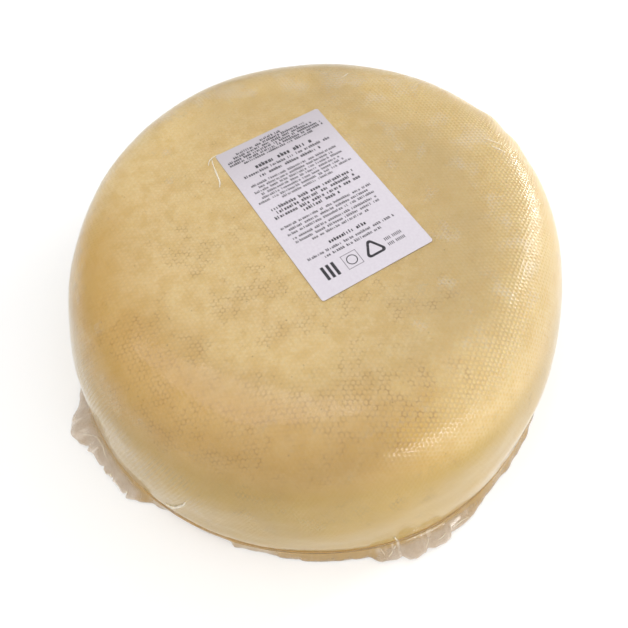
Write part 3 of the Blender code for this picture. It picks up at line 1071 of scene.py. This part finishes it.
def add_camera():
    data = bpy.data.cameras.new("camera")
    data.lens = CAMERA_LENS
    data.sensor_width = CAMERA_SENSOR
    data.shift_x, data.shift_y = CAMERA_SHIFT
    item = bpy.data.objects.new("camera", data)
    bpy.context.scene.collection.objects.link(item)
    right = Vector((1.0, 0.0, 0.0))
    up = Vector((0.0, math.sin(CAMERA_ELEVATION), math.cos(CAMERA_ELEVATION)))
    back = Vector((0.0, -math.cos(CAMERA_ELEVATION), math.sin(CAMERA_ELEVATION)))
    turned_right = right * math.cos(CAMERA_ROLL) + up * math.sin(CAMERA_ROLL)
    turned_up = up * math.cos(CAMERA_ROLL) - right * math.sin(CAMERA_ROLL)
    turn = Matrix((turned_right, turned_up, back)).transposed().to_4x4()
    item.matrix_world = Matrix.Translation(CAMERA_TARGET + back * CAMERA_DISTANCE) @ turn
    bpy.context.scene.camera = item


def add_softbox(name, place, size, watts):
    """A soft light that faces the middle of the wheel, and that no camera sees."""
    data = bpy.data.lights.new(name, "AREA")
    data.shape = "RECTANGLE"
    data.size, data.size_y = size
    data.energy = watts
    item = bpy.data.objects.new(name, data)
    bpy.context.scene.collection.objects.link(item)
    place = Vector(place)
    facing = (place - CAMERA_TARGET).to_track_quat("Z", "Y").to_matrix().to_4x4()
    item.matrix_world = Matrix.Translation(place) @ facing
    item.visible_camera = False


def add_studio():
    """Plain pale floor under an evenly lit room that is brightest on the near side, with lights round it.

    Narrow strips at the right and low at the front give the film its small highlights, and the wide soft
    lights at the right and high up give it its broad sheen.
    """
    mesh = bpy.data.meshes.new("studio_floor")
    work = bmesh.new()
    bmesh.ops.create_grid(work, x_segments=2, y_segments=2, size=FLOOR_HALF)
    work.to_mesh(mesh)
    work.free()
    floor = bpy.data.objects.new("studio_floor", mesh)
    bpy.context.scene.collection.objects.link(floor)
    floor.data.materials.append(floor_material())

    world = bpy.data.worlds.new("studio")
    bpy.context.scene.world = world
    world.use_nodes = True
    tree = world.node_tree
    tree.nodes.clear()
    seen = add(tree, "LightPath", out="Is Camera Ray")
    way = add(tree, "TexCoord", out="Generated")
    side = add(tree, "VectorMath", {"operation": "DOT_PRODUCT"}, {0: way, 1: BRIGHTER_SIDE}, "Value")
    glow = add(tree, "Math", TIMES_PLUS, {0: side, 1: 0.08, 2: 0.69})
    # The near side brightens so gradually that it is reflected as no more than a soft sheen
    near = add(tree, "VectorMath", {"operation": "DOT_PRODUCT"}, {0: way, 1: NEAR_SIDE}, "Value")
    near = add(tree, "MapRange", SMOOTH,
               {"Value": near, "From Min": 0.1, "From Max": 1.0, "To Max": 0.55})
    glow = add(tree, "Math", PLUS, {0: glow, 1: near})
    strength = add(tree, "Mix", NUMBERS, {0: seen, 2: glow, 3: 1.0})
    light = add(tree, "Background", {}, {"Color": (1.0, 1.0, 1.0, 1.0), "Strength": strength})
    add(tree, "OutputWorld", {}, {"Surface": light})

    for name, direction, height, width, tall, watts in SIDE_LIGHTS:
        turn, rise = math.radians(direction), math.radians(height)
        way = Vector((math.cos(rise) * math.cos(turn), math.cos(rise) * math.sin(turn), math.sin(rise)))
        add_softbox(name, CAMERA_TARGET + way * SIDE_DISTANCE, (width, tall), watts)
    add_softbox(*HIGH_LIGHT)
    bpy.context.scene.view_settings.view_transform = "Standard"


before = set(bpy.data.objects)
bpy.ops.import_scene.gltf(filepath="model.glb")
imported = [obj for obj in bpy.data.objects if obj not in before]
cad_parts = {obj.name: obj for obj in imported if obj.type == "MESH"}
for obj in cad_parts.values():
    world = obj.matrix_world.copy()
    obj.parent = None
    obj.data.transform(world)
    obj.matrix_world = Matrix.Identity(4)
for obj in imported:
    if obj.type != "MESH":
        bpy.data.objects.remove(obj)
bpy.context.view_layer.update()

add_camera()
piece("cheese_body", skin_mesh("cheese_body", FILM_INSET), cheese_material(), "cheese_wheel")
piece("film_skin", skin_mesh("film_skin", 0.0), film_material(), "cheese_wheel")
hem = piece("hem_film", hem_mesh(), loose_film_material(), "film_hem")
sheet = hem.modifiers.new("film", "SOLIDIFY")
sheet.thickness = HEM_FILM
sheet.offset = 0.0
# Brown ridges paint the shadow along the crease, and pale ridges paint glints along folds
piece("hem_creases", crease_mesh(), creased_film_material("shadow_painted_crease", "#D6AC66", 0.5))
piece("film_folds", fold_mesh(), creased_film_material("glint_painted_fold", "#F8F0DC", 0.75))
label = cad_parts["paper_label"]
label.material_slots[0].material = paper_material()
piece("label_print", print_mesh(), ink_material())
add_studio()
